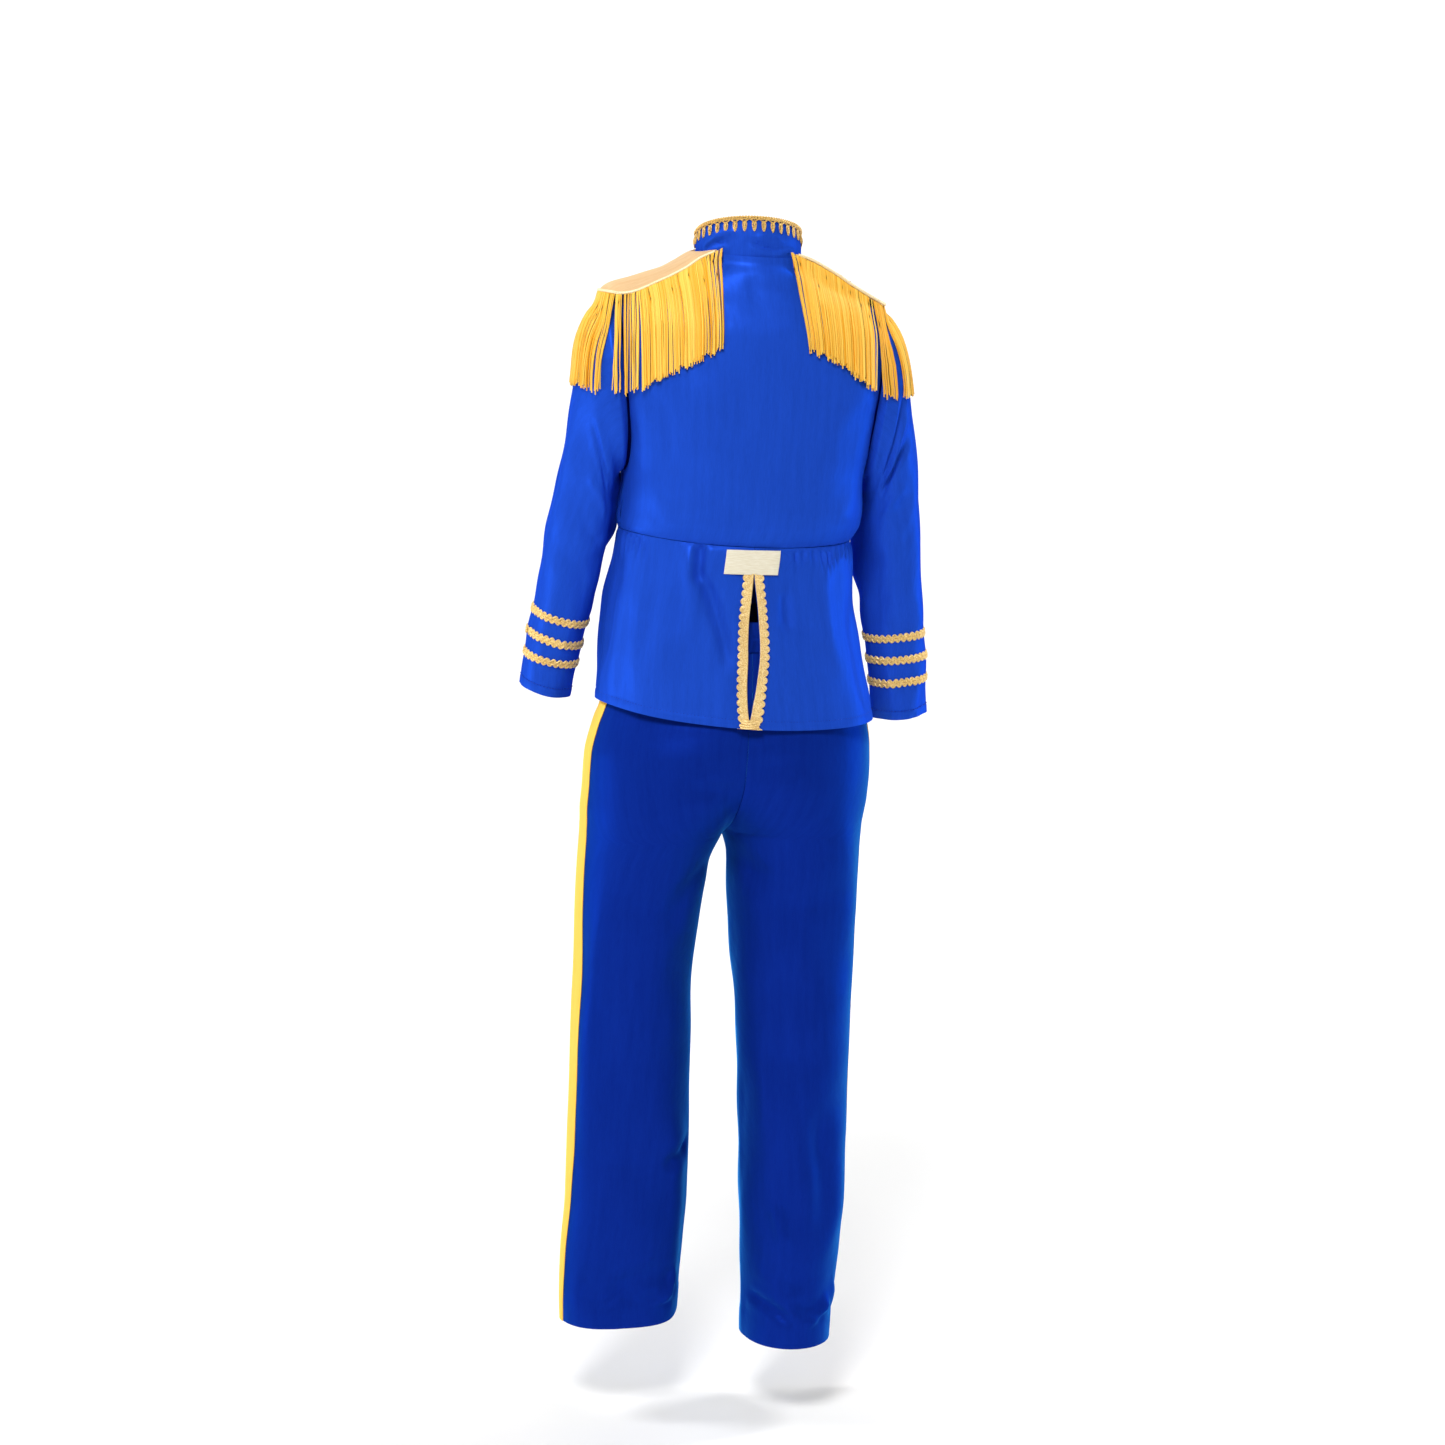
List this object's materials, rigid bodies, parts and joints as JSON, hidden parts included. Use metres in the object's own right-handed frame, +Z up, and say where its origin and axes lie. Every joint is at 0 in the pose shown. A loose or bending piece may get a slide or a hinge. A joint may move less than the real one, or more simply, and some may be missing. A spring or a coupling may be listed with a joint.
{
  "type": "parade drummer costume",
  "caption": "Child's parade drummer costume: royal-blue satin jacket with a stand collar, fringed gold epaulettes, braided cuffs and back vent, and blue trousers with a gold side stripe.",
  "frame": {"origin": "centre of the neck opening at the collar seam, where the wearer's neck holds the jacket", "axes": "+Z up, +Y to the wearer's back, +X to the wearer's left"},
  "size_m": [0.4155, 0.1987, 1.1323],
  "materials": {
    "jacket_satin": "satin",
    "trouser_satin": "satin",
    "stripe_satin": "satin",
    "rayon_fringe": "satin",
    "gold_gimp": "satin",
    "board_satin": "satin",
    "cream_ribbon": "matte"
  },
  "bodies": {
    "root": {"back_bodice": "jacket_satin", "front_left_bodice": "jacket_satin", "front_right_bodice": "jacket_satin", "collar": "jacket_satin", "collar_trim": "gold_gimp", "peplum_back_left": "jacket_satin", "peplum_back_right": "jacket_satin", "peplum_front_left": "jacket_satin", "peplum_front_right": "jacket_satin", "back_tab": "cream_ribbon", "vent_braid_left": "gold_gimp", "vent_braid_right": "gold_gimp", "vent_end": "gold_gimp", "sleeve_left": "jacket_satin", "sleeve_right": "jacket_satin", "cuff_braid_left_1": "gold_gimp", "cuff_braid_left_2": "gold_gimp", "cuff_braid_left_3": "gold_gimp", "cuff_braid_right_1": "gold_gimp", "cuff_braid_right_2": "gold_gimp", "cuff_braid_right_3": "gold_gimp", "epaulette_board_left": "board_satin", "epaulette_board_right": "board_satin", "epaulette_cord_left": "gold_gimp", "epaulette_cord_right": "gold_gimp", "epaulette_fringe_left": "rayon_fringe", "epaulette_fringe_right": "rayon_fringe", "trouser_back_left": "trouser_satin", "trouser_back_right": "trouser_satin", "trouser_front_left": "trouser_satin", "trouser_front_right": "trouser_satin", "trouser_waistband": "trouser_satin", "side_stripe_left": "stripe_satin", "side_stripe_right": "stripe_satin"}
  },
  "joints": []
}
